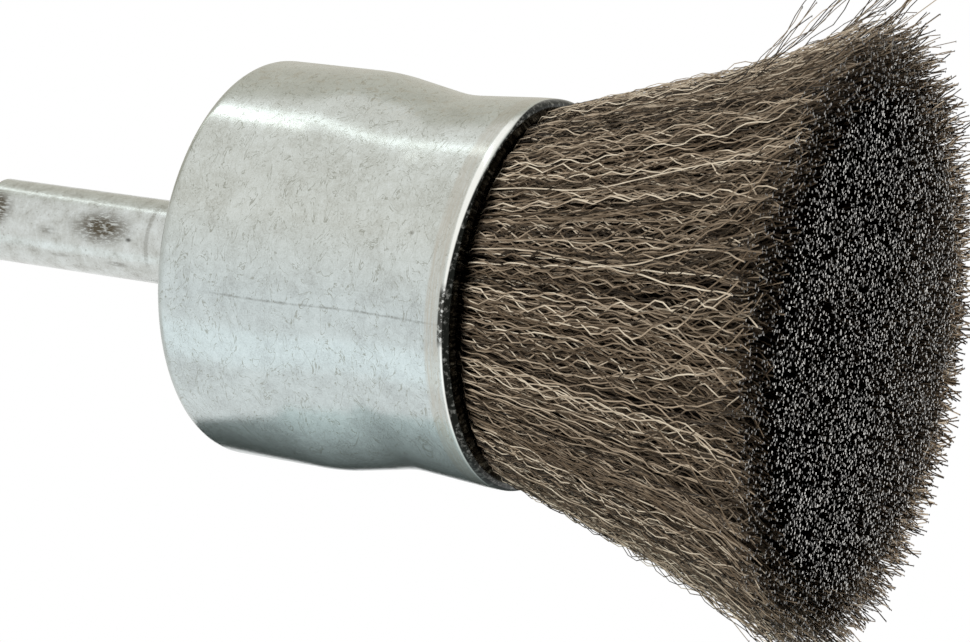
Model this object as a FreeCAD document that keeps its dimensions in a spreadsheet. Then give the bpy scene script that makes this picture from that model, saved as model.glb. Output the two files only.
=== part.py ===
import FreeCAD, Part
import math
import os
import Sketcher

# Crimped wire end brush with a 1/4 in shank, in millimetres.
# It stands on its wire face with the shank up: the Z axis is the axis of rotation,
# and the origin is in the middle of the plane that the wire tips touch.

doc = FreeCAD.newDocument("WireEndBrush")

# Driving dimensions
SIZES = {
    # stem that the drill chuck holds
    "shank_diameter": "6.35",
    "shank_length": "24.5",
    "shank_chamfer": "0.8",
    # spigot and riveted head that fasten the shank to the cup
    "spigot_diameter": "4.8",
    "rivet_diameter": "7.2",
    "rivet_thickness": "1.5",
    "rivet_chamfer": "0.5",
    # washer between the riveted head and the cup
    "washer_diameter": "19",
    "washer_thickness": "1.2",
    # drawn cup, crimped in at its neck and belled out at its mouth
    "cup_diameter": "29.1",
    "sheet_thickness": "1.2",
    "shoulder_rounding": "1.0",
    "body_land": "0.8",
    "taper_length": "6.6",
    "neck_diameter": "26.9",
    "bell_length": "6.4",
    "bell_diameter": "27.8",
    "lip_length": "1.4",
    "lip_rounding": "0.8",
    # ring over which the wires are folded, and the folded wires
    "ring_width": "2.8",
    "ring_height": "2.4",
    "core_diameter": "4.5",
    "heart_diameter": "1.8",
    "root_depth": "0.8",
    # free wires, from the cup's mouth to the face
    "wire_trim": "24.8",
    "mouth_bulge": "0.55",
    "flare": "7.3",
    "tip_flare": "1.2",
    "crimp_height": "0.42",
    "edge_rise": "1.1",
    "edge_width": "6.4",
    "tip_scatter": "0.7",
    "lock_lean": "0.6",
    # running clearance between neighbouring pieces
    "clearance": "0.1",
}

# Places that follow from the driving dimensions
PLACES = {
    "shank_edge": "=Sizes.shank_diameter / 2",
    "spigot_edge": "=Sizes.spigot_diameter / 2",
    "rivet_edge": "=Sizes.rivet_diameter / 2",
    "hole_edge": "=spigot_edge + Sizes.clearance / 2",
    "cup_edge": "=Sizes.cup_diameter / 2",
    "cup_inside": "=cup_edge - Sizes.sheet_thickness",
    "neck_edge": "=Sizes.neck_diameter / 2",
    "neck_inside": "=neck_edge - Sizes.sheet_thickness",
    "bell_edge": "=Sizes.bell_diameter / 2",
    "bell_inside": "=bell_edge - Sizes.sheet_thickness",
    "root_edge": "=min(neck_inside; bell_inside) - Sizes.clearance",
    "core_edge": "=Sizes.core_diameter / 2",
    "heart_edge": "=Sizes.heart_diameter / 2",
    "fold_edge": "=cup_inside - Sizes.clearance",
    "fold_round": "=(fold_edge - core_edge) / 2",
    "ring_middle": "=(fold_edge + core_edge) / 2",
    "ring_outside": "=ring_middle + Sizes.ring_width / 2",
    "ring_inside": "=ring_middle - Sizes.ring_width / 2",
    "mouth_level": "=Sizes.wire_trim",
    "root_level": "=mouth_level + Sizes.root_depth",
    "bell_level": "=mouth_level + Sizes.lip_length",
    "neck_level": "=bell_level + Sizes.bell_length",
    "body_level": "=neck_level + Sizes.taper_length",
    "ring_level": "=body_level + Sizes.body_land",
    "washer_level": "=ring_level + fold_round + Sizes.clearance",
    "rivet_level": "=washer_level - Sizes.rivet_thickness",
    "cup_floor": "=washer_level + Sizes.washer_thickness",
    "cup_back": "=cup_floor + Sizes.sheet_thickness",
    "shank_end": "=cup_back + Sizes.shank_length",
}

# Numbers of folded wire hanks round the axis, and of locks of wire in each row of one
HANKS = 18
ROW_LOCKS = (4, 3, 2, 1)
# Bends of a lock in each row, from the mouth to the face: only the outer ones show their sides
ROW_BENDS = (6, 1, 1, 1)
# Share of its pitch that a lock fills across and along the radius
LOCK_FILL = 0.9
DEPTH_FILL = 0.6
# How suddenly the tips turn outward near the face, and the locks lean
TIP_POWER = 5
LEAN_POWER = 2
# Radians by which a lock differs from the one beside it, and from the one in the next hank
LOCK_STEP = 2.4
HANK_STEP = 1.7
# Flats of the round fold over the ring, and of each rounded corner of the cup
FOLD_FLATS = 5
CORNER_STEPS = 2
# Two edges this near each other are one
SAME_PLACE = 0.0001


def fill_sheet(name, rows):
    """A sheet with one named value in each row."""
    sheet = doc.addObject("Spreadsheet::Sheet", name)
    for number, (alias, text) in enumerate(rows.items(), start=1):
        sheet.set("A%d" % number, alias)
        sheet.setAlias("B%d" % number, alias)
        sheet.set("B%d" % number, text)
    doc.recompute()
    return sheet


sizes = fill_sheet("Sizes", SIZES)
places = fill_sheet("Places", PLACES)


def size(alias):
    """A driving dimension as a number."""
    return float(sizes.get(alias))


def place(alias):
    """A derived place as a number."""
    return float(places.get(alias))


def rounded(across, level, radius, across_way, level_way):
    """A quarter round in place of a corner, from the edge beside the axis to the edge along it.

    The corner is a distance from the axis and a level, and each way points out of the round: 1 or -1.
    """
    corners = []
    for step in range(CORNER_STEPS + 1):
        turn = 90 * step / CORNER_STEPS
        corners.append((
            "%s - %d * %s * (1 - sin(%g))" % (across, across_way, radius, turn),
            "%s - %d * %s * (1 - cos(%g))" % (level, level_way, radius, turn),
        ))
    return corners


def outline_sketch(body, name, corners):
    """A closed outline in the XZ plane. Each corner is a distance from the axis and a level."""
    sketch = body.newObject("Sketcher::SketchObject", name)
    plane = next(item for item in body.Origin.OriginFeatures if item.Role == "XZ_Plane")
    sketch.AttachmentSupport = [(plane, "")]
    sketch.MapMode = "FlatFace"
    points = [
        FreeCAD.Vector(float(places.evalExpression(across)), float(places.evalExpression(level)), 0)
        for across, level in corners
    ]
    for number, point in enumerate(points):
        following = points[(number + 1) % len(points)]
        sketch.addGeometry(Part.LineSegment(point, following), False)
    for number in range(len(points)):
        following = (number + 1) % len(points)
        sketch.addConstraint(Sketcher.Constraint("Coincident", number, 2, following, 1))
    for number, (across, level) in enumerate(corners):
        for kind, expression, value in (
            ("DistanceX", across, points[number].x),
            ("DistanceY", level, points[number].y),
        ):
            index = sketch.addConstraint(Sketcher.Constraint(kind, -1, 1, number, 1, value))
            sketch.setExpression("Constraints[%d]" % index, expression)
    return sketch


def turned_body(name, corners):
    """A body of revolution about Z from an outline."""
    body = doc.addObject("PartDesign::Body", name)
    sketch = outline_sketch(body, name + "_outline", corners)
    turned = body.newObject("PartDesign::Revolution", name + "_turned")
    turned.Profile = sketch
    turned.ReferenceAxis = (sketch, ["V_Axis"])
    turned.Angle = 360
    sketch.Visibility = False
    doc.recompute()
    return body


def chamfer_ring(body, name, amount, across, level):
    """A chamfer on a turned body's round edge, at a distance from the axis and a level of Places."""
    base = body.Tip
    edges = [
        "Edge%d" % number
        for number, edge in enumerate(base.Shape.Edges, start=1)
        if isinstance(edge.Curve, Part.Circle)
        and abs(edge.Curve.Radius - place(across)) < SAME_PLACE
        and abs(edge.Curve.Center.z - place(level)) < SAME_PLACE
    ]
    chamfer = body.newObject("PartDesign::Chamfer", name)
    chamfer.Base = (base, edges)
    chamfer.setExpression("Size", amount)
    doc.recompute()


# Shank: stem, spigot through the cup's back, and riveted head, turned from one bar
shank = turned_body("shank", [
    ("0", "Places.rivet_level"),
    ("Places.rivet_edge", "Places.rivet_level"),
    ("Places.rivet_edge", "Places.washer_level"),
    ("Places.spigot_edge", "Places.washer_level"),
    ("Places.spigot_edge", "Places.cup_back"),
    ("Places.shank_edge", "Places.cup_back"),
    ("Places.shank_edge", "Places.shank_end"),
    ("0", "Places.shank_end"),
])
chamfer_ring(shank, "shank_end_chamfer", "Sizes.shank_chamfer", "shank_edge", "shank_end")
chamfer_ring(shank, "rivet_head_chamfer", "Sizes.rivet_chamfer", "rivet_edge", "rivet_level")

# Cup: drawn from sheet, with a closed back, a straight body, a crimped neck and a belled mouth
cup = turned_body("cup", [
    ("Places.hole_edge", "Places.cup_back"),
    *rounded("Places.cup_edge", "Places.cup_back", "Sizes.shoulder_rounding", 1, 1),
    ("Places.cup_edge", "Places.body_level"),
    ("Places.neck_edge", "Places.neck_level"),
    ("Places.bell_edge", "Places.bell_level"),
    *reversed(rounded("Places.bell_edge", "Places.mouth_level", "Sizes.lip_rounding", 1, -1)),
    ("Places.bell_inside", "Places.mouth_level"),
    ("Places.bell_inside", "Places.bell_level"),
    ("Places.neck_inside", "Places.neck_level"),
    ("Places.cup_inside", "Places.body_level"),
    ("Places.cup_inside", "Places.cup_floor"),
    ("Places.hole_edge", "Places.cup_floor"),
])


def flat_ring(name, outside, inside, height, level):
    """A flat ring about Z: a disc with a round hole. Each measure is an expression."""
    blank = doc.addObject("Part::Cylinder", name + "_blank")
    blank.setExpression("Radius", outside)
    blank.setExpression("Height", height)
    hole = doc.addObject("Part::Cylinder", name + "_hole")
    hole.setExpression("Radius", inside)
    hole.setExpression("Height", height)
    ring = doc.addObject("Part::Cut", name)
    ring.Base = blank
    ring.Tool = hole
    ring.setExpression("Placement.Base.z", level)
    return ring


# Retaining washer, between the riveted head and the cup's back
washer = flat_ring("retaining_washer", "Sizes.washer_diameter / 2", "Places.hole_edge",
                   "Sizes.washer_thickness", "Places.washer_level")

# Anchor ring, which the folded wires hang on
anchor = flat_ring("anchor_ring", "Places.ring_outside", "Places.ring_inside",
                   "Sizes.ring_height", "Places.ring_level - Sizes.ring_height / 2")
doc.recompute()


def flared_edge(level):
    """The radius of the outermost wires at a level below the cup's mouth."""
    down = (place("mouth_level") - level) / size("wire_trim")
    start = place("bell_edge") - size("mouth_bulge")
    return start + size("flare") * down + size("tip_flare") * down ** TIP_POWER


def tip_level(radius):
    """How far the cut end of a wire is above the face plane: the outer wires end a little short."""
    inner = flared_edge(0) - size("edge_width")
    beyond = max(0.0, radius - inner) / size("edge_width")
    return size("edge_rise") * beyond ** 2


def turned_point(across, level, angle):
    """A point at a distance from the axis, a level and an angle about the axis."""
    return FreeCAD.Vector(across * math.cos(angle), across * math.sin(angle), level)


def flat_sided(outlines):
    """A solid with flat sides between outlines of as many corners, closed by the first and the last."""
    faces = [Part.Face(Part.makePolygon(ends + ends[:1])) for ends in (outlines[0], outlines[-1])]
    for lower, upper in zip(outlines, outlines[1:]):
        for number in range(len(lower)):
            following = (number + 1) % len(lower)
            side = [lower[number], lower[following], upper[following], upper[number]]
            faces.append(Part.Face(Part.makePolygon(side + side[:1])))
    shell = Part.makeShell(faces)
    shell.sewShape()
    solid = Part.makeSolid(shell)
    if solid.Volume < 0:
        solid.reverse()
    return solid


def sector_solid(corners, start, end):
    """A solid between two angles about the axis, flat on each side of its section."""
    return flat_sided([
        [turned_point(across, level, angle) for across, level in corners]
        for angle in (start, end)
    ])


def fold_block():
    """The packed wires of one hank inside the cup: two legs that join in a fold over the ring."""
    middle = place("ring_middle")
    height = place("ring_level")
    reach = place("fold_round")
    gap = size("clearance")
    corners = [
        (place("cup_inside") - gap, place("body_level")),
        (place("neck_inside") - gap, place("neck_level")),
        (place("root_edge"), place("bell_level")),
        (place("root_edge"), place("root_level")),
        (place("heart_edge"), place("root_level")),
    ]
    for flat in range(FOLD_FLATS + 1):
        turn = math.pi * (1 - flat / FOLD_FLATS)
        corners.append((middle + reach * math.cos(turn), height + reach * math.sin(turn)))
    half_width = size("ring_width") / 2 + gap
    half_height = size("ring_height") / 2 + gap
    slot = [
        (middle + half_width * a, height + half_height * b)
        for a, b in ((1, 1), (-1, 1), (-1, -1), (1, -1))
    ]
    step = 2 * math.pi / HANKS
    open_angle = gap / place("fold_edge")
    block = sector_solid(corners, open_angle / 2, step - open_angle / 2)
    ring_room = sector_solid(slot, -open_angle, step + open_angle)
    head_room = Part.makeCylinder(
        place("rivet_edge") + gap,
        size("rivet_thickness") + gap,
        FreeCAD.Vector(0, 0, place("rivet_level") - gap),
    )
    return block.cut(ring_room).cut(head_room)


def lock_outline(angle, radius, width, depth, shift, level):
    """The level, three-sided section of a lock of wires, with its ridge outward."""
    outward = FreeCAD.Vector(math.cos(angle), math.sin(angle), 0)
    across = FreeCAD.Vector(-math.sin(angle), math.cos(angle), 0)
    middle = outward * radius + across * shift + FreeCAD.Vector(0, 0, level)
    return [
        middle + outward * (depth / 2),
        middle - outward * (depth / 2) + across * (width / 2),
        middle - outward * (depth / 2) - across * (width / 2),
    ]


def wire_lock(row, lock, hank):
    """One crimped lock of wires, from the folded block through the mouth to the face.

    Locks lean out or in and end higher or lower, and those of opposite hanks do so alike.
    """
    pitch = 2 * math.pi / (HANKS * ROW_LOCKS[row])
    angle = pitch * (lock + 0.5)
    root_edge = place("root_edge")
    heart = place("heart_edge") / root_edge
    row_share = (1 - heart) / len(ROW_LOCKS)
    share = 1 - (row + 0.5) * row_share
    full = share * flared_edge(0)
    rise = tip_level(full)
    habit = math.sin(LOCK_STEP * lock + HANK_STEP * (hank % (HANKS // 2)))
    if rise:
        rise += size("tip_scatter") * (0.5 + 0.5 * habit)
    mouth = place("mouth_level")

    def outline(edge, level, side):
        leaning = edge + size("lock_lean") * habit * max(0.0, 1 - level / mouth) ** LEAN_POWER
        radius = share * leaning
        width = LOCK_FILL * pitch * radius
        depth = DEPTH_FILL * row_share * leaning
        return lock_outline(angle, radius, width, depth, side * size("crimp_height"), level)

    bends = ROW_BENDS[row]
    outlines = [outline(root_edge, place("root_level") + size("clearance"), 0)]
    for bend in range(1, bends + 1):
        level = mouth * (1 - bend / bends) if bend < bends else rise
        side = (-1) ** bend if bends > 1 else 0
        outlines.append(outline(flared_edge(level), level, side))
    return flat_sided(outlines)


# Wire hanks: each a bundle of crimped wires folded over the ring, side by side round the axis
block = fold_block()
hanks = []
for number in range(HANKS):
    locks = [
        wire_lock(row, lock, number)
        for row in range(len(ROW_LOCKS))
        for lock in range(ROW_LOCKS[row])
    ]
    hank = doc.addObject("Part::Feature", "wire_hank_%02d" % (number + 1))
    hank.Shape = block.multiFuse(locks)
    turn = FreeCAD.Rotation(FreeCAD.Vector(0, 0, 1), 360.0 * number / HANKS)
    hank.Placement = FreeCAD.Placement(FreeCAD.Vector(0, 0, 0), turn)
    hanks.append(hank)

doc.recompute()

# Every object is sound before anything is written
for item in doc.Objects:
    if "Invalid" in item.State or "Error" in item.State:
        raise RuntimeError("%s did not recompute: %s" % (item.Name, item.State))

os.makedirs("parts", exist_ok=True)
nodes = [shank, cup, washer, anchor] + hanks
for node in nodes:
    node.Label = node.Name
    if node.Shape.isNull() or not node.Shape.isValid():
        raise RuntimeError("%s has no valid shape" % node.Label)
    if len(node.Shape.Solids) != 1:
        raise RuntimeError("%s is not one solid" % node.Label)
for node in nodes:
    node.Shape.exportStep("parts/%s.step" % node.Label)
print("wrote %d nodes" % len(nodes))
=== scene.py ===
import math

import bpy
import numpy as np
from mathutils import Matrix, Vector


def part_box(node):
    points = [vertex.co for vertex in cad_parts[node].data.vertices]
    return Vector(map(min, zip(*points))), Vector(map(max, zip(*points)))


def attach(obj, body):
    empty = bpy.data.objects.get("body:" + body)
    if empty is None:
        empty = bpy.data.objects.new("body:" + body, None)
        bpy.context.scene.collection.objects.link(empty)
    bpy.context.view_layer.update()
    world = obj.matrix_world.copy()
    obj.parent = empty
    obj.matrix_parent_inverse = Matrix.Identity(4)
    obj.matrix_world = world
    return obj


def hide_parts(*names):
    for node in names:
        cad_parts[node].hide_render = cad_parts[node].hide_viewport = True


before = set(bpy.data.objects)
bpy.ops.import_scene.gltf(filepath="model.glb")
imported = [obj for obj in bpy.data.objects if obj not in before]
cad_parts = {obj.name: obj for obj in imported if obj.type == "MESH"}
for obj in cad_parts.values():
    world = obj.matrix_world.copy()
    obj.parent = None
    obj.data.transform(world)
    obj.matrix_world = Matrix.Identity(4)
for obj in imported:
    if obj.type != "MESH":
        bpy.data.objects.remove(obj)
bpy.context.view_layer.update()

MM = 0.001

# The picture: its width in pixels, and the camera in millimetres and degrees.
# In view coordinates x is to the right, y down and z away from the camera.
IMAGE_WIDTH = 970
FOCAL_PIXELS = 2974.0
SENSOR_WIDTH = 36.0
AXIS_TILT = 27.2
AXIS_SLOPE = 8.5
AXIS_POINT_LEVEL = 26.0
AXIS_POINT_VIEW = (3.14, -1.86, 209.6)

# The stage, in metres: the nearest that the camera sees, the floor's half width and its gap
# under the wires, and how far the cards are from the brush's axis
NEAR_LIMIT = 0.01
FLOOR_REACH = 1.2
FLOOR_GAP = 0.00005
CARD_DISTANCE = 0.05

# How fast a card's colour changes from its near edge
CARD_POWER = 1.9

# The brush as the frame has it: the corners of the cup's box in metres, the levels of its mouth and
# back and its radius in millimetres, and the number of hanks of wire
CUP_LOW, CUP_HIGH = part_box("cup")
MOUTH = CUP_LOW.z / MM
CUP_BACK = CUP_HIGH.z / MM
CUP_EDGE = CUP_HIGH.x / MM
HANKS = sum(name.startswith("wire_hank_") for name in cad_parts)


def view_basis():
    """The turn from the row frame to view coordinates."""
    tilt = math.radians(AXIS_TILT)
    slope = math.radians(AXIS_SLOPE)
    towards_face = Vector((
        math.cos(tilt) * math.cos(slope),
        math.cos(tilt) * math.sin(slope),
        -math.sin(tilt),
    ))
    up_shank = -towards_face
    away = Vector((0, 0, 1))
    behind = (away - away.dot(up_shank) * up_shank).normalized()
    side = behind.cross(up_shank)
    return Matrix((side, behind, up_shank)).transposed()


VIEW = view_basis()
RIGHT, DOWN, AWAY = VIEW


def add_object(name, data):
    """A new object in the scene."""
    thing = bpy.data.objects.new(name, data)
    bpy.context.collection.objects.link(thing)
    return thing


def make_camera():
    """The photograph's view: the face leans to the camera, and the shank points to the left."""
    offset = Vector(AXIS_POINT_VIEW) * MM - VIEW @ Vector((0, 0, AXIS_POINT_LEVEL * MM))
    place = -(VIEW.transposed() @ offset)
    turn = Matrix((RIGHT, -DOWN, -AWAY)).transposed().to_4x4()
    data = bpy.data.cameras.new("camera")
    data.sensor_width = SENSOR_WIDTH
    data.lens = FOCAL_PIXELS * SENSOR_WIDTH / IMAGE_WIDTH
    data.clip_start = NEAR_LIMIT
    camera = add_object("camera", data)
    camera.matrix_world = Matrix.Translation(place) @ turn
    bpy.context.scene.camera = camera


def picture_way(right, up, near):
    """A direction given by how far it goes right, up and towards the viewer in the picture."""
    return (RIGHT * right - DOWN * up - AWAY * near).normalized()


def facing(towards, long_way):
    """A turn whose Z axis points in a direction and whose X axis is as near as it can be to another."""
    along = (long_way - long_way.dot(towards) * towards).normalized()
    return Matrix((along, towards.cross(along), towards)).transposed().to_4x4()


def make_lamp(name, level, towards, long_way, distance, size, power, color):
    """A soft lamp that looks at a level of the brush from a direction, with its length lying a given way.

    The level is in millimetres, and the distance, length and width in metres.
    """
    data = bpy.data.lights.new(name, "AREA")
    data.shape = "RECTANGLE"
    data.size = size[0]
    data.size_y = size[1]
    data.energy = power
    data.color = color
    middle = Vector((0, 0, level * MM))
    lamp = add_object(name, data)
    lamp.matrix_world = Matrix.Translation(middle + towards * distance) @ facing(towards, long_way)


class Nodes:
    """A node tree with short calls for its nodes and links."""

    # The sockets of a mix node that take and give colours
    FIRST_COLOR = 6
    SECOND_COLOR = 7
    MIXED_COLOR = 2

    def __init__(self, tree):
        self.tree = tree
        tree.nodes.clear()

    def add(self, kind, **values):
        """A node: names that it has as settings are set, and the rest are its inputs."""
        node = self.tree.nodes.new(kind)
        for name, value in values.items():
            if hasattr(node, name):
                setattr(node, name, value)
            else:
                self.feed(node.inputs[name.replace("_", " ")], value)
        return node

    def feed(self, socket, value):
        """A number, a colour or another node's output into a socket."""
        if isinstance(value, bpy.types.NodeSocket):
            self.tree.links.new(value, socket)
        elif isinstance(value, tuple) and len(value) == 3 and socket.type == "RGBA":
            socket.default_value = (*value, 1)
        else:
            socket.default_value = value

    def math(self, operation, first, second, clamp=False):
        """What an operation makes of two values."""
        node = self.tree.nodes.new("ShaderNodeMath")
        node.operation = operation
        node.use_clamp = clamp
        self.feed(node.inputs[0], first)
        self.feed(node.inputs[1], second)
        return node.outputs[0]

    def plus(self, first, second):
        """Two values added."""
        return self.math("ADD", first, second)

    def times(self, first, second):
        """Two values multiplied."""
        return self.math("MULTIPLY", first, second)

    def weighed(self, *pairs):
        """The sum of values that are each multiplied by a weight."""
        total, *others = [self.times(value, weight) for value, weight in pairs]
        for other in others:
            total = self.plus(total, other)
        return total

    def rise(self, value, start, length):
        """0 up to a start, and 1 from a length past it."""
        return self.math("DIVIDE", self.math("SUBTRACT", value, start), length, clamp=True)

    def fall(self, value, end, length):
        """1 up to a length before an end, and 0 past the end."""
        return self.math("DIVIDE", self.math("SUBTRACT", end, value), length, clamp=True)

    def band(self, value, low, high, soft):
        """1 between two values, with soft edges outside them."""
        return self.times(self.rise(value, low - soft, soft), self.fall(value, high + soft, soft))

    def vector(self, operation, first, second):
        """The node that makes something of two vectors."""
        node = self.add("ShaderNodeVectorMath", operation=operation)
        self.feed(node.inputs[0], first)
        self.feed(node.inputs[1], second)
        return node

    def ramp(self, value, stops):
        """A colour or grey value along stops of a position and a colour."""
        node = self.tree.nodes.new("ShaderNodeValToRGB")
        self.feed(node.inputs[0], value)
        marks = node.color_ramp.elements
        while len(marks) < len(stops):
            marks.new(0.5)
        for mark, (position, color) in zip(marks, stops):
            mark.position = position
            mark.color = (*color, 1) if isinstance(color, tuple) else (color, color, color, 1)
        return node.outputs[0]

    def mix(self, share, first, second):
        """A colour between two others."""
        node = self.tree.nodes.new("ShaderNodeMix")
        node.data_type = "RGBA"
        self.feed(node.inputs[0], share)
        self.feed(node.inputs[self.FIRST_COLOR], first)
        self.feed(node.inputs[self.SECOND_COLOR], second)
        return node.outputs[self.MIXED_COLOR]

    def stain_or_painted_light(self, color, mask, amount, stain):
        """A colour with a stain, or with painted light or shade, over it where a mask is 1, as strong as the
        amount.
        """
        return self.mix(self.times(mask, amount), color, stain)

    def noise(self, place, scale, detail, roughness, distortion=0.0):
        """A soft random value about one half."""
        return self.add("ShaderNodeTexNoise", Vector=place, Scale=scale, Detail=detail,
                        Roughness=roughness, Distortion=distortion).outputs[0]

    def mix_shaders(self, share, first, second):
        """The node of a shader between two others."""
        node = self.tree.nodes.new("ShaderNodeMixShader")
        for socket, value in zip(node.inputs, (share, first.outputs[0], second.outputs[0])):
            self.feed(socket, value)
        return node

    def show(self, shader, kind="ShaderNodeOutputMaterial"):
        """A shader's node as what the tree gives out."""
        self.feed(self.tree.nodes.new(kind).inputs["Surface"], shader.outputs[0])


def make_world():
    """White behind the brush and in its reflections, and a softer even light on it."""
    world = bpy.data.worlds.new("world")
    bpy.context.scene.world = world
    world.use_nodes = True
    nodes = Nodes(world.node_tree)
    path = nodes.add("ShaderNodeLightPath").outputs
    white = nodes.add("ShaderNodeBackground", Color=(1.0, 1.0, 1.0), Strength=1.0)
    soft = nodes.add("ShaderNodeBackground", Color=(0.95, 0.97, 1.0), Strength=0.6)
    seen = nodes.math("MAXIMUM", path["Is Camera Ray"], path["Is Transmission Ray"])
    seen = nodes.math("MAXIMUM", seen, path["Is Glossy Ray"])
    nodes.show(nodes.mix_shaders(seen, soft, white), "ShaderNodeOutputWorld")


def new_material(name):
    """A material, and its empty node tree."""
    material = bpy.data.materials.new(name)
    material.use_nodes = True
    return material, Nodes(material.node_tree)


def square_mesh(name, reach):
    """A level square round the origin that reaches as far each way."""
    mesh = bpy.data.meshes.new(name)
    corners = [(-reach, -reach, 0), (reach, -reach, 0), (reach, reach, 0), (-reach, reach, 0)]
    mesh.from_pydata(corners, [], [(0, 1, 2, 3)])
    return mesh


def make_floor():
    """A pale floor under the wire face. It shows, with its shadow, only to a camera above it."""
    mesh = square_mesh("floor", FLOOR_REACH)
    floor = add_object("floor", mesh)
    floor.location.z = -FLOOR_GAP
    material, nodes = new_material("floor")
    camera = nodes.add("ShaderNodeLightPath").outputs["Is Camera Ray"]
    back = nodes.add("ShaderNodeNewGeometry").outputs["Backfacing"]
    seen = nodes.times(camera, nodes.math("SUBTRACT", 1.0, back))
    clear = nodes.add("ShaderNodeBsdfTransparent")
    pale = nodes.add("ShaderNodeBsdfDiffuse", Color=(0.9, 0.9, 0.9))
    nodes.show(nodes.mix_shaders(seen, clear, pale))
    mesh.materials.append(material)


def make_card(name, down, behind, left, size, near_color, far_color):
    """A card beside the brush that only its metal reflects, placed by directions of the picture.

    Its colour goes from its edge by the camera to its far edge. Lengths are in metres.
    """
    mesh = square_mesh(name, 1 / 2)
    card = add_object(name, mesh)
    towards = (DOWN * down + AWAY * behind).normalized()
    middle = Vector((0, 0, (MOUTH + CUP_BACK) / 2 * MM)) + towards * CARD_DISTANCE - RIGHT * left
    card.matrix_world = Matrix.Translation(middle) @ facing(towards, RIGHT) @ Matrix.Diagonal((*size, 1, 1))
    card.visible_camera = False
    card.visible_diffuse = False
    card.visible_shadow = False
    card.visible_transmission = False
    material, nodes = new_material(name)
    place = nodes.add("ShaderNodeTexCoord").outputs["Generated"]
    level = nodes.add("ShaderNodeSeparateXYZ", Vector=place).outputs["Y"]
    near = nodes.math("POWER", level if down > 0 else nodes.math("SUBTRACT", 1.0, level), CARD_POWER)
    nodes.show(nodes.add("ShaderNodeEmission", Color=nodes.mix(near, far_color, near_color), Strength=1.0))
    mesh.materials.append(material)


# The bump of the plate and the stem: its strength, and its depth in metres
BUMP_STRENGTH = 0.2
BUMP_DEPTH = 0.00003


def surface(name):
    """A material with a metal surface, its nodes and its shader's inputs."""
    material, nodes = new_material(name)
    shader = nodes.add("ShaderNodeBsdfPrincipled", Metallic=1.0)
    nodes.show(shader)
    return material, nodes, shader.inputs


def finish_surface(nodes, inputs, color, value, roughness, height):
    """A metal's colour and bump, and its roughness, which goes from its least by a spread times a value."""
    least, spread = roughness
    bump = nodes.add("ShaderNodeBump", Strength=BUMP_STRENGTH, Distance=BUMP_DEPTH, Height=height)
    nodes.feed(inputs["Base Color"], color)
    nodes.feed(inputs["Roughness"], nodes.plus(nodes.times(value, spread), least))
    nodes.feed(inputs["Normal"], bump.outputs[0])


def turn_place(nodes, radius):
    """Places on a turned surface in millimetres: x the way round from the near side, y the level."""
    place = nodes.add("ShaderNodeTexCoord").outputs["Object"]
    parts = nodes.add("ShaderNodeSeparateXYZ", Vector=place).outputs
    angle = nodes.math("ARCTAN2", parts["X"], nodes.times(parts["Y"], -1.0))
    level = nodes.times(parts["Z"], 1 / MM)
    return nodes.add("ShaderNodeCombineXYZ", X=nodes.times(angle, radius), Y=level).outputs[0]


def mark(nodes, place, across, level, size, edge):
    """A soft oval mark at a place on a turned surface: 1 up to a share of its size, and 0 outside."""
    moved = nodes.vector("SUBTRACT", place, (across, level, 0.0))
    scaled = nodes.vector("DIVIDE", moved.outputs[0], (*size, 1.0))
    reach = nodes.vector("LENGTH", scaled.outputs[0], (0.0, 0.0, 0.0))
    return nodes.ramp(reach.outputs["Value"], [(edge, 1.0), (1.0, 0.0)])


def stretched(nodes, place, across, along):
    """Places on a turned surface with each way scaled by its own factor."""
    return nodes.vector("MULTIPLY", place, (across, along, 1.0)).outputs[0]


# Below, a noise is its scale for a millimetre, detail, roughness and distortion.
# A band is its two ends and the softness past them, and a stain is its strength and its colour.
# Places on the cup and the stem are millimetres up the picture from the near side, and levels.

# The plate's mottling: noises with their weights, and its colours, warm above and bluer below, where the blue
# is a painted reflection of blue light from below
PLATE_CLOUD = (0.28, 5.0, 0.6, 0.5)
PLATE_BLOTCH = (1.5, 5.0, 0.75, 0.8)
PLATE_GRAIN = (8.0, 3.0, 0.7)
CLOUD_WEIGHT = 0.3
BLOTCH_WEIGHT = 0.35
GRAIN_WEIGHT = 0.35
PLATE_WARM = [
    (0.36, (0.37, 0.375, 0.33)),
    (0.44, (0.51, 0.525, 0.48)),
    (0.52, (0.585, 0.61, 0.57)),
    (0.62, (0.66, 0.69, 0.66)),
]
PAINTED_BLUE_PLATE = [
    (0.36, (0.36, 0.39, 0.38)),
    (0.44, (0.49, 0.535, 0.53)),
    (0.52, (0.565, 0.625, 0.62)),
    (0.62, (0.635, 0.695, 0.695)),
]
PAINTED_BLUE_END = 3.0
PAINTED_BLUE_LENGTH = 6.0
PLATE_ROUGHNESS = (0.11, 0.14)
GRAIN_HEIGHT = 0.2

# The plate's specks and fine scratches, painted shade at the cup's back, and a painted warm reflection in
# patches along its top
SPECK_NOISE = (3.4, 3.0, 0.6)
SPECK_STOPS = [(0.64, 0.0), (0.72, 1.0)]
SPECK_STAIN = (0.6, (0.24, 0.24, 0.2))
HAIR_STRETCH = (0.6, 1.1)
HAIR_NOISE = (0.6, 3.0, 0.62, 1.6)
HAIR_BAND = (0.494, 0.506, 0.01)
HAIR_PATCHES = [(0.42, 0.0), (0.52, 1.0)]
HAIR_STAIN = (0.6, (0.22, 0.22, 0.17))
BACK_LEVELS = (CUP_BACK - 0.3, CUP_BACK + 1.0, 0.6)
BACK_PAINTED_SHADE = (0.55, (0.24, 0.25, 0.21))
TOP_BAND = (15.0, 21.0, 3.0)
TOP_PATCHES = [(0.5, 0.0), (0.6, 1.0)]
TOP_PAINTED_REFLECTION = (0.5, (0.4, 0.36, 0.27))

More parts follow.
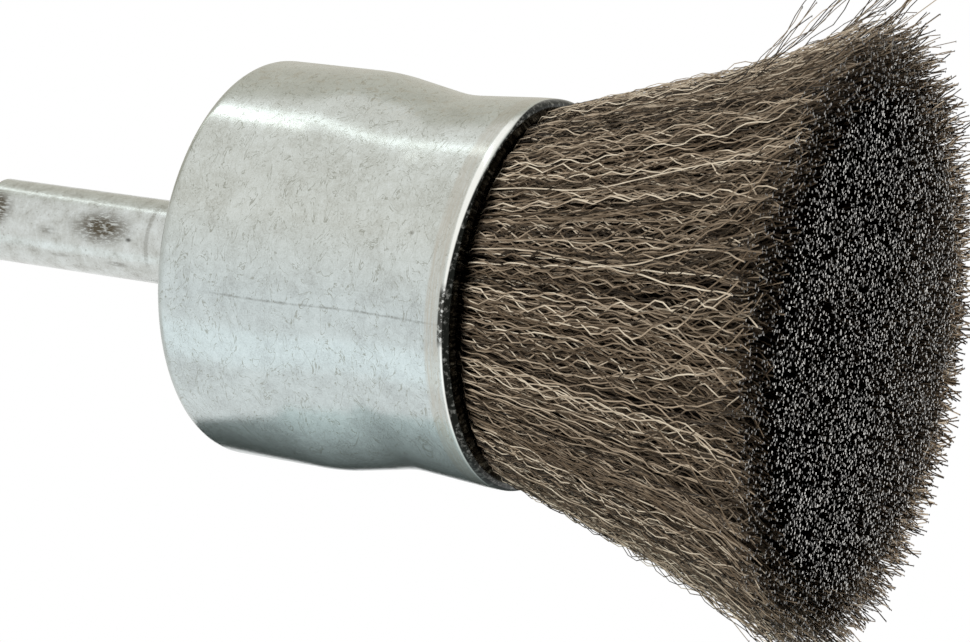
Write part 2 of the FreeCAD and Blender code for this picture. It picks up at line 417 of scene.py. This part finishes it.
# The cup's two pits, each with its place and half widths, and its long scratch
PITS = ((3.0, 28.7, (0.2, 0.24)), (-7.4, 32.0, (0.16, 0.12)))
PIT_EDGE = 0.1
PIT_GRAIN = [(0.35, 0.3), (0.55, 1.0)]
PIT_STAIN = (0.8, (0.14, 0.13, 0.1))
SCRATCH_WAVER = 0.15
SCRATCH_BAND = (-3.16, -3.1, 0.09)
SCRATCH_LEVELS = (27.2, 41.0, 3.5)
SCRATCH_PATCHES = [(0.4, 1.0), (0.6, 0.35)]
SCRATCH_STAIN = (0.6, (0.16, 0.16, 0.14))


def zinc_plate():
    """Zinc plate: mottled, with specks, fine scratches, a long scratch, pits and a worn lip; bluer below as a
    painted reflection of blue light, with painted shade at the back, a painted warm reflection along the top,
    and on the lip a painted highlight and a front painted black as shade.
    """
    material, nodes, inputs = surface("zinc_plate")
    place = turn_place(nodes, CUP_EDGE)
    parts = nodes.add("ShaderNodeSeparateXYZ", Vector=place).outputs
    across = parts["X"]
    level = parts["Y"]
    cloud = nodes.noise(place, *PLATE_CLOUD)
    blotch = nodes.noise(place, *PLATE_BLOTCH)
    grain = nodes.noise(place, *PLATE_GRAIN)
    tone = nodes.weighed((cloud, CLOUD_WEIGHT), (blotch, BLOTCH_WEIGHT), (grain, GRAIN_WEIGHT))
    # Bluer towards the bottom of the picture: a painted reflection of blue light from below
    painted_blue = nodes.fall(across, PAINTED_BLUE_END, PAINTED_BLUE_LENGTH)
    color = nodes.mix(painted_blue, nodes.ramp(tone, PLATE_WARM), nodes.ramp(tone, PAINTED_BLUE_PLATE))

    specks = nodes.ramp(nodes.noise(place, *SPECK_NOISE), SPECK_STOPS)
    color = nodes.stain_or_painted_light(color, specks, *SPECK_STAIN)
    hairs = nodes.noise(stretched(nodes, place, *HAIR_STRETCH), *HAIR_NOISE)
    hairs = nodes.times(nodes.band(hairs, *HAIR_BAND), nodes.ramp(blotch, HAIR_PATCHES))
    color = nodes.stain_or_painted_light(color, hairs, *HAIR_STAIN)
    # Painted shade on the cup's back and round its shoulder, where the stem enters
    color = nodes.stain_or_painted_light(color, nodes.band(level, *BACK_LEVELS), *BACK_PAINTED_SHADE)
    # A painted warm reflection, in patches, along the top of the cup
    top = nodes.times(nodes.band(across, *TOP_BAND), nodes.ramp(blotch, TOP_PATCHES))
    color = nodes.stain_or_painted_light(color, top, *TOP_PAINTED_REFLECTION)

    pits = nodes.math("MAXIMUM", *[mark(nodes, place, *pit, PIT_EDGE) for pit in PITS])
    pits = nodes.times(pits, nodes.ramp(grain, PIT_GRAIN))
    color = nodes.stain_or_painted_light(color, pits, *PIT_STAIN)
    scratch = nodes.plus(across, nodes.times(blotch, SCRATCH_WAVER))
    scratch = nodes.times(nodes.band(scratch, *SCRATCH_BAND), nodes.band(level, *SCRATCH_LEVELS))
    scratch = nodes.times(scratch, nodes.ramp(blotch, SCRATCH_PATCHES))
    color = nodes.stain_or_painted_light(color, scratch, *SCRATCH_STAIN)

    color = lip_wear_and_painted_light(nodes, color, place, across, nodes.math("SUBTRACT", level, MOUTH))
    height = nodes.plus(nodes.times(grain, GRAIN_HEIGHT), blotch)
    finish_surface(nodes, inputs, color, blotch, PLATE_ROUGHNESS, height)
    return material


# The worn lip by the height above the mouth: tan rings, and a painted highlight along its edge that ends at
# the top
RING_STRETCH = (0.12, 3.0)
RING_NOISE = (2.6, 3.0, 0.7)
RING_STOPS = [(0.4, 0.95), (0.6, 0.35)]
RING_HEIGHTS = (0.85, 1.8, 0.2)
RING_STAIN = (0.8, (0.48, 0.455, 0.39))
HIGHLIGHT_HEIGHTS = (0.3, 0.62, 0.12)
HIGHLIGHT_BAND = (-30.0, 13.0, 2.0)
LIP_PAINTED_HIGHLIGHT = (0.9, (0.93, 0.93, 0.88))

# The lip's front, painted black as shade and as a dark reflection of the wires, with its flecks, whose scale
# is for a metre, and the gouge in the edge. The painted black is wider at the bottom and at the top of the
# cup.
FLECK_NOISE = (2600.0, 3.0, 0.7)
LIP_SHADE_STOPS = [(0.52, (0.012, 0.013, 0.011)), (0.75, (0.24, 0.24, 0.22))]
BLACK_HEIGHT = 0.12
BLACK_WIDER = 0.38
BLACK_SOFT = 0.08
BLACK_BOTTOM = (9.0, 10.0)
BLACK_TOP = (13.0, 6.0)
GOUGE_BAND = (-4.2, -1.0, 0.8)
GOUGE_HEIGHTS = (0.35, 0.85, 0.1)
GOUGE_FLECKS = [(0.5, 1.0), (0.6, 0.2)]
GOUGE_STAIN = (0.95, (0.03, 0.03, 0.025))


def lip_wear_and_painted_light(nodes, color, place, across, up):
    """The plate's colour with the lip's over it: tan rings, a painted highlight along the edge, and a flecked
    front painted black as shade and dark reflection.
    """
    rings = nodes.noise(stretched(nodes, place, *RING_STRETCH), *RING_NOISE)
    rings = nodes.times(nodes.band(up, *RING_HEIGHTS), nodes.ramp(rings, RING_STOPS))
    color = nodes.stain_or_painted_light(color, rings, *RING_STAIN)
    # A painted highlight along the lip's rounded edge, ending at the top
    bright = nodes.times(nodes.band(up, *HIGHLIGHT_HEIGHTS), nodes.band(across, *HIGHLIGHT_BAND))
    color = nodes.stain_or_painted_light(color, bright, *LIP_PAINTED_HIGHLIGHT)
    flecks = nodes.noise(nodes.add("ShaderNodeTexCoord").outputs["Object"], *FLECK_NOISE)
    gouge = nodes.times(nodes.band(across, *GOUGE_BAND), nodes.band(up, *GOUGE_HEIGHTS))
    gouge = nodes.times(gouge, nodes.ramp(flecks, GOUGE_FLECKS))
    color = nodes.stain_or_painted_light(color, gouge, *GOUGE_STAIN)
    # The lip's front painted black as shade and as a dark reflection of the wires, wider at the bottom and
    # the top
    wider = nodes.math("MAXIMUM", nodes.fall(across, *BLACK_BOTTOM), nodes.rise(across, *BLACK_TOP))
    end = nodes.plus(nodes.plus(nodes.times(wider, BLACK_WIDER), BLACK_HEIGHT), BLACK_SOFT)
    return nodes.mix(nodes.fall(up, end, BLACK_SOFT), color, nodes.ramp(flecks, LIP_SHADE_STOPS))


# The stem: its radius in millimetres, its mottling and its streaks
STEM_RADIUS = 3.175
STEM_CLOUD = (0.8, 5.0, 0.65)
STEM_GRAIN = (5.0, 4.0, 0.7)
STEM_CLOUD_WEIGHT = 0.65
STEM_GRAIN_WEIGHT = 0.35
STEM_STOPS = [
    (0.34, (0.33, 0.33, 0.3)),
    (0.44, (0.51, 0.525, 0.495)),
    (0.6, (0.64, 0.67, 0.65)),
]
STREAK_STRETCH = (1.0, 0.25)
STREAK_NOISE = (6.0, 4.0, 0.7, 0.3)
STEM_ROUGHNESS = (0.12, 0.2)

# Smudges on the stem: each has its place, its half widths, the share of them that is full, and its strength
SMUDGES = (
    (0.4, 60.7, (1.6, 3.3), 0.3, 1.0),
    (0.75, 71.4, (1.8, 2.6), 0.6, 0.95),
    (-0.4, 65.5, (0.45, 1.1), 0.1, 0.55),
    (-2.4, 59.3, (0.3, 1.3), 0.1, 0.7),
    (-2.3, 64.6, (0.25, 1.2), 0.1, 0.4),
)
SMUDGE_STREAKS = [(0.38, 0.15), (0.52, 1.0)]
SMUDGE_COLOR = (0.1, 0.085, 0.06)

# A dark spot, specks, a fine groove on the near side and the dark line round the stem's foot
SPOT = (-0.27, 58.1, (0.2, 0.35), 0.3)
SPOT_GRAIN = [(0.3, 0.4), (0.5, 1.0)]
SPOT_STAIN = (0.85, (0.06, 0.055, 0.045))
STEM_SPECK_NOISE = (4.2, 2.0, 0.5)
STEM_SPECK_STAIN = (0.45, (0.2, 0.19, 0.16))
GROOVE_LEVELS = (56.4, 56.62, 0.12)
GROOVE_BAND = (-1.6, 2.0, 1.2)
GROOVE_STREAKS = [(0.35, 0.4), (0.55, 1.0)]
GROOVE_STAIN = (0.45, (0.17, 0.16, 0.13))
FOOT_LEVELS = (CUP_BACK, CUP_BACK + 0.3, 0.7)
FOOT_STAIN = (0.7, (0.12, 0.12, 0.1))


def shank_steel():
    """Handled steel: brown-black smudges streaked along the stem, specks, and a dark line round its foot."""
    material, nodes, inputs = surface("shank_steel")
    place = turn_place(nodes, STEM_RADIUS)
    parts = nodes.add("ShaderNodeSeparateXYZ", Vector=place).outputs
    cloud = nodes.noise(place, *STEM_CLOUD)
    grain = nodes.noise(place, *STEM_GRAIN)
    streaks = nodes.noise(stretched(nodes, place, *STREAK_STRETCH), *STREAK_NOISE)
    tone = nodes.weighed((cloud, STEM_CLOUD_WEIGHT), (grain, STEM_GRAIN_WEIGHT))
    color = nodes.ramp(tone, STEM_STOPS)
    for *shape, strength in SMUDGES:
        smudge = nodes.times(mark(nodes, place, *shape), nodes.ramp(streaks, SMUDGE_STREAKS))
        color = nodes.stain_or_painted_light(color, smudge, strength, SMUDGE_COLOR)
    spot = nodes.times(mark(nodes, place, *SPOT), nodes.ramp(grain, SPOT_GRAIN))
    color = nodes.stain_or_painted_light(color, spot, *SPOT_STAIN)
    specks = nodes.ramp(nodes.noise(place, *STEM_SPECK_NOISE), SPECK_STOPS)
    color = nodes.stain_or_painted_light(color, specks, *STEM_SPECK_STAIN)
    groove = nodes.times(nodes.band(parts["Y"], *GROOVE_LEVELS), nodes.band(parts["X"], *GROOVE_BAND))
    groove = nodes.times(groove, nodes.ramp(streaks, GROOVE_STREAKS))
    color = nodes.stain_or_painted_light(color, groove, *GROOVE_STAIN)
    color = nodes.stain_or_painted_light(color, nodes.band(parts["Y"], *FOOT_LEVELS), *FOOT_STAIN)
    finish_surface(nodes, inputs, color, grain, STEM_ROUGHNESS, grain)
    return material


def plain_metal(name, color, roughness):
    """A metal of one colour."""
    material, nodes, inputs = surface(name)
    nodes.feed(inputs["Base Color"], color)
    nodes.feed(inputs["Roughness"], roughness)
    return material


def toned_metal(name, stops, roughness):
    """Wire that has its colour along the stops by the tone of each of its points."""
    material, nodes, inputs = surface(name)
    tone = nodes.add("ShaderNodeAttribute", attribute_name="tone").outputs["Fac"]
    nodes.feed(inputs["Base Color"], nodes.ramp(tone, stops))
    nodes.feed(inputs["Roughness"], roughness)
    return material


# The cup's outline, in millimetres. The ring beside the hole keeps the back's shading flat.
SHEET = 1.2
HOLE_EDGE = 2.45
HOLE_RING = 2.5
BODY_LEVEL = 38.6
NECK_LEVEL = 32.6
BELL_LEVEL = 26.2
NECK_EDGE = 13.45
BELL_EDGE = 13.9

# How far a bend starts before its corner of the outline, in millimetres, and the points of a bend
SHOULDER_BEND = 1.0
NECK_BEND = 1.3
BELL_BEND = 0.5
LIP_BEND = 0.6
INSIDE_BEND = 0.3
BEND_POINTS = 8

# Facets round the cup
CUP_TURNS = 144


def rounded_path(corners):
    """A path through corners of a radius, a level and a bend: each corner becomes a smooth bend."""
    path = []
    for number, (across, level, reach) in enumerate(corners):
        here = np.array((across, level), float)
        if reach == 0 or number in (0, len(corners) - 1):
            path.append(here)
            continue
        before = np.array(corners[number - 1][:2], float) - here
        after = np.array(corners[number + 1][:2], float) - here
        start = here + before / np.linalg.norm(before) * reach
        end = here + after / np.linalg.norm(after) * reach
        for share in np.linspace(0, 1, BEND_POINTS):
            path.append((1 - share) ** 2 * start + 2 * share * (1 - share) * here + share ** 2 * end)
    return path


def cup_outline():
    """The cup's section, from the hole in its back over the outside and the lip to the inside."""
    inner = CUP_EDGE - SHEET
    return rounded_path([
        (HOLE_EDGE, CUP_BACK - SHEET, 0),
        (HOLE_EDGE, CUP_BACK, 0),
        (HOLE_RING, CUP_BACK, 0),
        (CUP_EDGE, CUP_BACK, SHOULDER_BEND),
        (CUP_EDGE, BODY_LEVEL, NECK_BEND),
        (NECK_EDGE, NECK_LEVEL, NECK_BEND),
        (BELL_EDGE, BELL_LEVEL, BELL_BEND),
        (BELL_EDGE, MOUTH, LIP_BEND),
        (BELL_EDGE - SHEET, MOUTH, INSIDE_BEND),
        (BELL_EDGE - SHEET, BELL_LEVEL, INSIDE_BEND),
        (NECK_EDGE - SHEET, NECK_LEVEL, NECK_BEND),
        (inner, BODY_LEVEL, NECK_BEND),
        (inner, CUP_BACK - SHEET, INSIDE_BEND),
        (HOLE_EDGE, CUP_BACK - SHEET, 0),
    ])


def lathe(name, outline, turns, material, node):
    """A turned surface about Z in place of a node, from an outline of radii and levels."""
    outline = np.array(outline)
    angles = np.arange(turns) * 2 * math.pi / turns
    rings = np.stack([
        outline[:, None, 0] * np.cos(angles)[None, :],
        outline[:, None, 0] * np.sin(angles)[None, :],
        np.repeat(outline[:, None, 1], turns, axis=1),
    ], axis=2)
    row = (np.arange(len(outline) - 1) * turns)[:, None]
    here = np.arange(turns)[None, :]
    following = (here + 1) % turns
    faces = np.stack([row + here, row + following, row + turns + following, row + turns + here], axis=2)
    mesh = bpy.data.meshes.new(name)
    mesh.from_pydata(rings.reshape(-1, 3) * MM, [], faces.reshape(-1, 4).tolist())
    mesh.polygons.foreach_set("use_smooth", np.ones(len(mesh.polygons), bool))
    mesh.materials.append(material)
    mesh.update()
    piece = add_object(name, mesh)
    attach(piece, "root")
    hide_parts(node)


# The outline of the wires, in millimetres: in the neck, past the mouth, and how it flares to the face
NECK_INSIDE = 12.5
MOUTH_EDGE = 13.35
MOUTH_BULGE_LENGTH = 0.45
FLARE = 7.3
TIP_FLARE = 1.2
TIP_FLARE_POWER = 5

# A wire, in millimetres: its radius, the half diagonals of its cut end, and the level of its root
WIRE_RADIUS = 0.05
CUT_RADII = (0.06, 0.12)
ROOT_LEVEL = MOUTH + 1.4

# The points of a half-round wire's section, and the corners of its cut end
SECTION_POINTS = 3
CUT_CORNERS = 4

# How high the wires end, in millimetres: all of them, those near the face's edge, with the share that
# is cut nearly even, and sprung ones for each millimetre that they stand out
TIP_LEVELS = (0.1, 0.5)
EDGE_WIDTH = 6.4
EDGE_RISE = 0.3
EDGE_UNEVEN = (-0.3, 0.6)
EVEN_SHARE = 0.3
EVEN_RISE = 0.1
SPRUNG_RISE = 0.35

# The crimp: its period and heights in millimetres, how sharp its bends are and the peak that this
# gives, how it starts and grows from the mouth, and how much of it goes outward
CRIMP_PERIOD = 2.9
PERIOD_SPREAD = (0.82, 1.25)
CRIMP_HEIGHTS = (0.12, 0.4)
CRIMP_SHARPNESS = 1.2
CRIMP_PEAK = 0.83
CRIMP_START = 0.3
CRIMP_GROWTH = 12
CRIMP_OUTWARD = 0.8

# How wires wander: millimetres aside and outward, the millimetres of level to a radian of each wave,
# the phases of the waves, and the share at the mouth and what the free length adds to it
SLOW_DRIFT = (0.2, 1.0)
SLOW_LENGTHS = (2.4, 6.0)
FAST_DRIFT = (0.0, 0.35)
FAST_LENGTHS = (1.1, 2.0)
OUTWARD_DRIFT = 0.4
OUTWARD_LENGTHS = (2.0, 5.0)
DRIFT_PHASES = (0, 6.28)
DRIFT_START = 0.15
DRIFT_GROWTH = 0.85

# Tips astray to a side: the share of wild ones, and the spread of those and of the others
WILD_SHARE = 0.3
WILD_SPREAD = 2.6
TAME_SPREAD = 0.9

# How far wires may stand past the outline, at the mouth and what the free length adds, and the least
# radius at which a shift to the side is taken as a turn
OUTSIDE_START = 0.05
OUTSIDE_GROWTH = 0.9
LEAST_TURN_RADIUS = 2.5

# Locks of wire in a hank: how far they lean, the radians between the habits of neighbours, how far
# their wires are pulled together, and how high they end
LOCKS = 4
LOCK_LEAN = 0.6
LEAN_SPREAD = 0.2
LOCK_STEP = 2.4
HANK_STEP = 1.7
LOCK_PULLS = (-0.1, 0.4)
PULL_SPREAD = 0.3
GATHER_POWER = 2.2
LOCK_RISE = 0.35
RISE_SPREAD = (0, 0.3)

# Wires of the outside that are sprung out: from what share of their length, how many, and how far
SPRUNG_START = 0.6
SPRUNG_SHARE = 0.16
SPRUNG_REACH = (0.2, 1.4)

# Long stray wires of the hanks at the top of the picture: the share of the radius that they start at,
# how many there are away from the tufts and more in them, their longest reach, the shares of it, and
# how much of the other springing is left there. A tuft is an angle and a half width, in radians.
TOP_HANKS = (0, 1, 16, 17)
TUFTS = ((0.08, 0.08), (0.36, 0.07))
STRAY_FROM = 0.92
STRAY_SHARE = 0.05
TUFT_SHARE = 0.4
STRAY_REACH = 7.5
STRAY_LENGTHS = (0.05, 1.0)
TOP_SPRUNG = 0.4

# Wires swept round over the others on the upper near side: the share of the radius that they start
# at, how many, how far, and how much of that they stand out
UPPER_NEAR_HANKS = (13, 14, 15, 16, 17)
SWEPT_FROM = 0.88
SWEPT_SHARE = 0.16
SWEPT_REACH = (0.5, 6.0)
SWEPT_OUT = 0.12

# Wires of a hank, the points of each, and the share of the radius beyond which they are brown; inside it they
# are painted near-black as shade
OUTER_SHARE = 0.77
OUTER_WIRES = 290
INNER_WIRES = 600
OUTER_STEPS = 36
INNER_STEPS = 5

# Tones go from 0, near black, to 1, pale. Brown wires get painted glints along the slopes of their crimp,
# painted shade in the gaps between others, which are inside a share of the radius, and a little painted
# shade over the last millimetres before the face.
LEAST_TONE = 0.03
TONE_POWER = 1.6
PAINTED_CRIMP_GLINT = 0.35
GAP_FROM = 0.97
GAP_DEPTH = 0.1
GAP_SHARE = 0.85
PAINTED_GAP_SHADE = 0.85
TIP_LENGTH = 5.0
TIP_TONE = 0.8
TIP_TONE_RISE = 0.2
# Inner wires' tones: painted near-black as shade within the bundle
INNER_SHADE_TONES = (0, 0.12)
OUTER_CUT_TONES = (0, 0.6)
INNER_CUT_TONES = (0, 1.1)

# Seeds of the random draws, to which a hank's number is added
HANK_SEED = 100
LOCK_SEED = 900

# The steel's colours by their tone, on the wires and on their cut ends
WIRE_STOPS = [
    (0.0, (0.018, 0.015, 0.012)),
    (0.25, (0.15, 0.108, 0.07)),
    (0.7, (0.455, 0.36, 0.258)),
    (1.0, (0.76, 0.66, 0.51)),
]
CUT_STOPS = [(0.0, 0.03), (1.0, (0.78, 0.76, 0.72))]

# The least length that a direction is divided by
TINY = 1e-6


def outer_radius(level):
    """The radius of the outermost wires at each level."""
    down = np.maximum((MOUTH - level) / MOUTH, 0)
    open_edge = MOUTH_EDGE + FLARE * down + TIP_FLARE * down ** TIP_FLARE_POWER
    out = np.clip((MOUTH - level) / MOUTH_BULGE_LENGTH, 0, 1)
    out = out * out * (3 - 2 * out)
    return NECK_INSIDE + (open_edge - NECK_INSIDE) * out


FACE_RADIUS = outer_radius(np.array(0.0))


def wire_lines(share, angle, run, rng, lock):
    """The centre lines of wires that leave the cup at given shares of its radius and angles, and their crimp.

    The run is how far along the wire each point is, from 0 at the root to 1 at the tip.
    """
    count = len(share)
    beyond = np.clip((share * FACE_RADIUS - (FACE_RADIUS - EDGE_WIDTH)) / EDGE_WIDTH, 0, 1)
    uneven = beyond * (EDGE_RISE * beyond + lock["rise"] + rng.uniform(*EDGE_UNEVEN, count))
    uneven = uneven * np.where(rng.random(count) < EVEN_SHARE, EVEN_RISE, 1.0)
    tip = WIRE_RADIUS + rng.uniform(*TIP_LEVELS, count) + uneven + SPRUNG_RISE * lock["sprung"]
    level = ROOT_LEVEL + (tip[:, None] - ROOT_LEVEL) * run[None, :]
    free = np.clip((MOUTH - level) / MOUTH, 0, 1)
    radius = share[:, None] * (outer_radius(level) - WIRE_RADIUS)

    def column(low, high):
        return rng.uniform(low, high, count)[:, None]

    def wander(lengths):
        return np.sin(level / column(*lengths) + column(*DRIFT_PHASES))

    wave = level / (column(*PERIOD_SPREAD) * CRIMP_PERIOD) * 2 * math.pi + column(0, 2 * math.pi)
    height = column(*CRIMP_HEIGHTS) * np.clip(free * CRIMP_GROWTH, CRIMP_START, 1)
    lean = column(0, math.pi)
    crimp = height * np.tanh(CRIMP_SHARPNESS * np.sin(wave)) / CRIMP_PEAK
    drift = (DRIFT_START + DRIFT_GROWTH * free) * (
        column(*SLOW_DRIFT) * wander(SLOW_LENGTHS)
        + column(*FAST_DRIFT) * wander(FAST_LENGTHS)
    )
    wild = rng.random(count) < WILD_SHARE
    astray = np.where(wild, rng.normal(0, WILD_SPREAD, count), rng.normal(0, TAME_SPREAD, count))
    gather = lock["pull"][:, None] * free ** GATHER_POWER
    bend = np.clip((run - SPRUNG_START) / (1 - SPRUNG_START), 0, 1)[None, :] ** 2
    across = crimp * np.sin(lean) + drift + gather + (lock["swept"] + astray)[:, None] * bend
    outward = crimp * np.cos(lean) * CRIMP_OUTWARD + beyond[:, None] * lock["out"][:, None] * free ** 2
    outward = outward + OUTWARD_DRIFT * free * wander(OUTWARD_LENGTHS)
    limit = (1.0 - share[:, None]) * outer_radius(level) + OUTSIDE_GROWTH * free + OUTSIDE_START
    outward = np.minimum(outward, limit) + lock["sprung"][:, None] * bend
    turn = angle[:, None] + across / np.maximum(radius, LEAST_TURN_RADIUS)
    reach = radius + outward
    slope = np.cos(wave) * np.sin(lean)
    return np.stack([reach * np.cos(turn), reach * np.sin(turn), level], axis=2), slope


def lock_values(angle, share, number):
    """How each wire follows its lock, and how far it is sprung out or swept round."""
    rng = np.random.default_rng(LOCK_SEED + number)
    width = 2 * math.pi / HANKS / LOCKS
    near = np.clip(np.floor(angle / width - number * LOCKS).astype(int), 0, LOCKS - 1)
    middle = (number * LOCKS + near + 0.5) * width
    habit = np.sin(LOCK_STEP * near + HANK_STEP * (number % (HANKS // 2)))
    count = len(share)
    pull = (middle - angle) * FACE_RADIUS * rng.uniform(*LOCK_PULLS, LOCKS)[near]
    sprung = (rng.random(count) < SPRUNG_SHARE) * (share > OUTER_SHARE) * rng.uniform(*SPRUNG_REACH, count)
    swept = np.zeros(count)
    if number in TOP_HANKS:
        turned = np.where(angle > math.pi, angle - 2 * math.pi, angle)
        tuft = sum(np.exp(-((turned - place) / reach) ** 2) for place, reach in TUFTS)
        long = (rng.random(count) < STRAY_SHARE + TUFT_SHARE * tuft) & (share > STRAY_FROM)
        sprung = TOP_SPRUNG * sprung + long * STRAY_REACH * rng.uniform(*STRAY_LENGTHS, count)
    if number in UPPER_NEAR_HANKS:
        swept = (rng.random(count) < SWEPT_SHARE) * (share > SWEPT_FROM) * rng.uniform(*SWEPT_REACH, count)
    return {
        "pull": pull + rng.normal(0, PULL_SPREAD, LOCKS)[near],
        "out": LOCK_LEAN * habit + rng.normal(0, LEAN_SPREAD, count),
        "rise": LOCK_RISE * (1 + habit) + rng.uniform(*RISE_SPREAD, LOCKS)[near],
        "sprung": sprung + SWEPT_OUT * swept,
        "swept": swept,
    }


def half_tubes(lines):
    """Vertices and faces of half-round wires along the lines, with their round side outward."""
    count, steps, _ = lines.shape
    along = np.gradient(lines, axis=1)
    along /= np.linalg.norm(along, axis=2, keepdims=True)
    guide = lines * (1.0, 1.0, 0.0)
    guide /= np.maximum(np.linalg.norm(guide, axis=2, keepdims=True), TINY)
    across = np.cross(along, guide)
    across *= WIRE_RADIUS / np.linalg.norm(across, axis=2, keepdims=True)
    outward = np.cross(across, along)
    rings = np.stack([lines - across, lines + outward, lines + across], axis=2)
    first = np.arange(count * steps).reshape(count, steps)[:, :-1, None] * SECTION_POINTS
    here = first + np.arange(SECTION_POINTS - 1)
    after = here + SECTION_POINTS
    sides = np.stack([here, here + 1, after + 1, after], axis=3).reshape(-1, 4)
    return rings.reshape(-1, 3), sides


def cut_ends(tips, radius):
    """Vertices and faces of small level squares, the cut ends of wires."""
    corners = np.array([(1, 1, 0), (-1, 1, 0), (-1, -1, 0), (1, -1, 0)]) / math.sqrt(2)
    points = tips[:, None, :] + corners * radius[:, None, None]
    return points.reshape(-1, 3), np.arange(len(tips) * CUT_CORNERS).reshape(-1, CUT_CORNERS)


def outer_wires(number, rng):
    """The brown wires round the outside of a hank: their lines, their tones with painted glints and painted
    shade, and those of their cut ends.
    """
    step = 2 * math.pi / HANKS
    area = OUTER_SHARE ** 2 + (1 - OUTER_SHARE ** 2) * rng.permutation(OUTER_WIRES) / OUTER_WIRES
    share = np.sqrt(area)
    angle = (number + (np.arange(OUTER_WIRES) + rng.uniform(0, 1, OUTER_WIRES)) / OUTER_WIRES) * step
    run = np.linspace(0, 1, OUTER_STEPS)
    lines, slope = wire_lines(share, angle, run, rng, lock_values(angle, share, number))
    # Painted shade on brown wires that lie in the gaps between others
    gap_shade_share = np.clip((GAP_FROM - share) / GAP_DEPTH, 0, 1) * (rng.random(OUTER_WIRES) < GAP_SHARE)
    above_tip = np.clip(lines[..., 2] / TIP_LENGTH, 0, 1)
    tone = LEAST_TONE + rng.uniform(0, 1, OUTER_WIRES) ** TONE_POWER
    # Painted glints along the slopes of the crimp, and the painted gap shade
    tone = tone[:, None] * (1 + PAINTED_CRIMP_GLINT * slope) * (1 - PAINTED_GAP_SHADE * gap_shade_share[:, None] * above_tip)
    # A little painted shade over the last millimetres before the face
    tone = tone * (TIP_TONE + TIP_TONE_RISE * above_tip)
    return lines, tone, rng.uniform(*OUTER_CUT_TONES, OUTER_WIRES)


def inner_wires(number, rng):
    """The wires inside a hank, painted near-black as shade within the bundle, which show only their bright
    cut ends.
    """
    step = 2 * math.pi / HANKS
    area = OUTER_SHARE ** 2 * (np.arange(INNER_WIRES) + rng.uniform(0, 1, INNER_WIRES)) / INNER_WIRES
    share = np.sqrt(area)
    angle = (number + (rng.permutation(INNER_WIRES) + 0.5) / INNER_WIRES) * step
    run = np.linspace(0, 1, INNER_STEPS)
    lines, _ = wire_lines(share, angle, run, rng, lock_values(angle, share, number))
    # Painted shade: the inner wires are near-black
    tone = rng.uniform(*INNER_SHADE_TONES, INNER_WIRES)[:, None] * np.ones(INNER_STEPS)
    return lines, tone, rng.uniform(*INNER_CUT_TONES, INNER_WIRES)


def wire_hank(number, materials):
    """The crimped wires of one hank, standing in the sector of its node.

    The materials are the wires' own and that of their cut ends.
    """
    rng = np.random.default_rng(HANK_SEED + number)
    points, faces, kinds, tones = [], [], [], []
    for lines, tone, cut_tone in (outer_wires(number, rng), inner_wires(number, rng)):
        ends = cut_ends(lines[:, -1], rng.uniform(*CUT_RADII, len(lines)))
        for kind, (corners, sides), values in (
            (0, half_tubes(lines), np.repeat(tone.ravel(), SECTION_POINTS)),
            (1, ends, np.repeat(cut_tone, CUT_CORNERS)),
        ):
            faces += (sides + sum(len(part) for part in points)).tolist()
            points.append(corners)
            kinds += [kind] * len(sides)
            tones.append(np.clip(values, 0, 1))
    name = "wires_%02d" % (number + 1)
    mesh = bpy.data.meshes.new(name)
    mesh.from_pydata(np.concatenate(points) * MM, [], faces)
    mesh.polygons.foreach_set("use_smooth", np.array(kinds) == 0)
    mesh.polygons.foreach_set("material_index", np.array(kinds, np.int32))
    attribute = mesh.attributes.new("tone", "FLOAT", "POINT")
    attribute.data.foreach_set("value", np.concatenate(tones).astype(np.float32))
    for material in materials:
        mesh.materials.append(material)
    mesh.update()
    piece = add_object(name, mesh)
    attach(piece, "root")
    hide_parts("wire_hank_%02d" % (number + 1))


bpy.context.scene.view_settings.view_transform = "Standard"
make_camera()
make_world()

# Lamps whose lengths follow the highlights along the brush, so that those stay narrow and straight
make_lamp(
    "strip_lamp",
    level=30,
    towards=picture_way(right=-0.36, up=0.92, near=-0.18),
    long_way=picture_way(right=0.565, up=0.317, near=0.761),
    distance=0.35,
    size=(0.6, 0.025),
    power=0.06,
    color=(0.85, 0.95, 1.0),
)
make_lamp(
    "low_lamp",
    level=30,
    towards=picture_way(right=-0.75, up=-0.6, near=0.25),
    long_way=picture_way(right=0.526, up=-0.305, near=0.794),
    distance=0.35,
    size=(0.4, 0.11),
    power=0.03,
    color=(0.7, 0.9, 1.0),
)
make_lamp(
    "stem_lamp",
    level=64,
    towards=picture_way(right=-0.4, up=0.89, near=-0.2),
    long_way=picture_way(right=0.545, up=0.31, near=0.779),
    distance=0.045,
    size=(0.07, 0.0025),
    power=0.001,
    color=(0.9, 0.97, 1.0),
)

make_floor()

# Cards that darken the cup's underside and warm its top
make_card(
    "dark_card",
    down=0.87,
    behind=0.49,
    left=0.004,
    size=(0.06, 0.064),
    near_color=(0.9, 1.0, 1.0),
    far_color=(0.04, 0.05, 0.045),
)
make_card(
    "beige_card",
    down=-0.75,
    behind=0.66,
    left=0.01,
    size=(0.16, 0.05),
    near_color=(0.72, 0.72, 0.68),
    far_color=(0.70, 0.68, 0.61),
)

lathe("cup_skin", cup_outline(), CUP_TURNS, zinc_plate(), "cup")

hidden_steel = plain_metal("inner_steel", color=(0.45, 0.45, 0.45), roughness=0.5)
for node, material in (
    ("shank", shank_steel()),
    ("retaining_washer", hidden_steel),
    ("anchor_ring", hidden_steel),
):
    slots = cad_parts[node].data.materials
    for index in range(len(slots)):
        slots[index] = material

wire_steel = toned_metal("wire_steel", WIRE_STOPS, roughness=0.38)
cut_steel = toned_metal("cut_steel", CUT_STOPS, roughness=0.5)
for number in range(HANKS):
    wire_hank(number, [wire_steel, cut_steel])
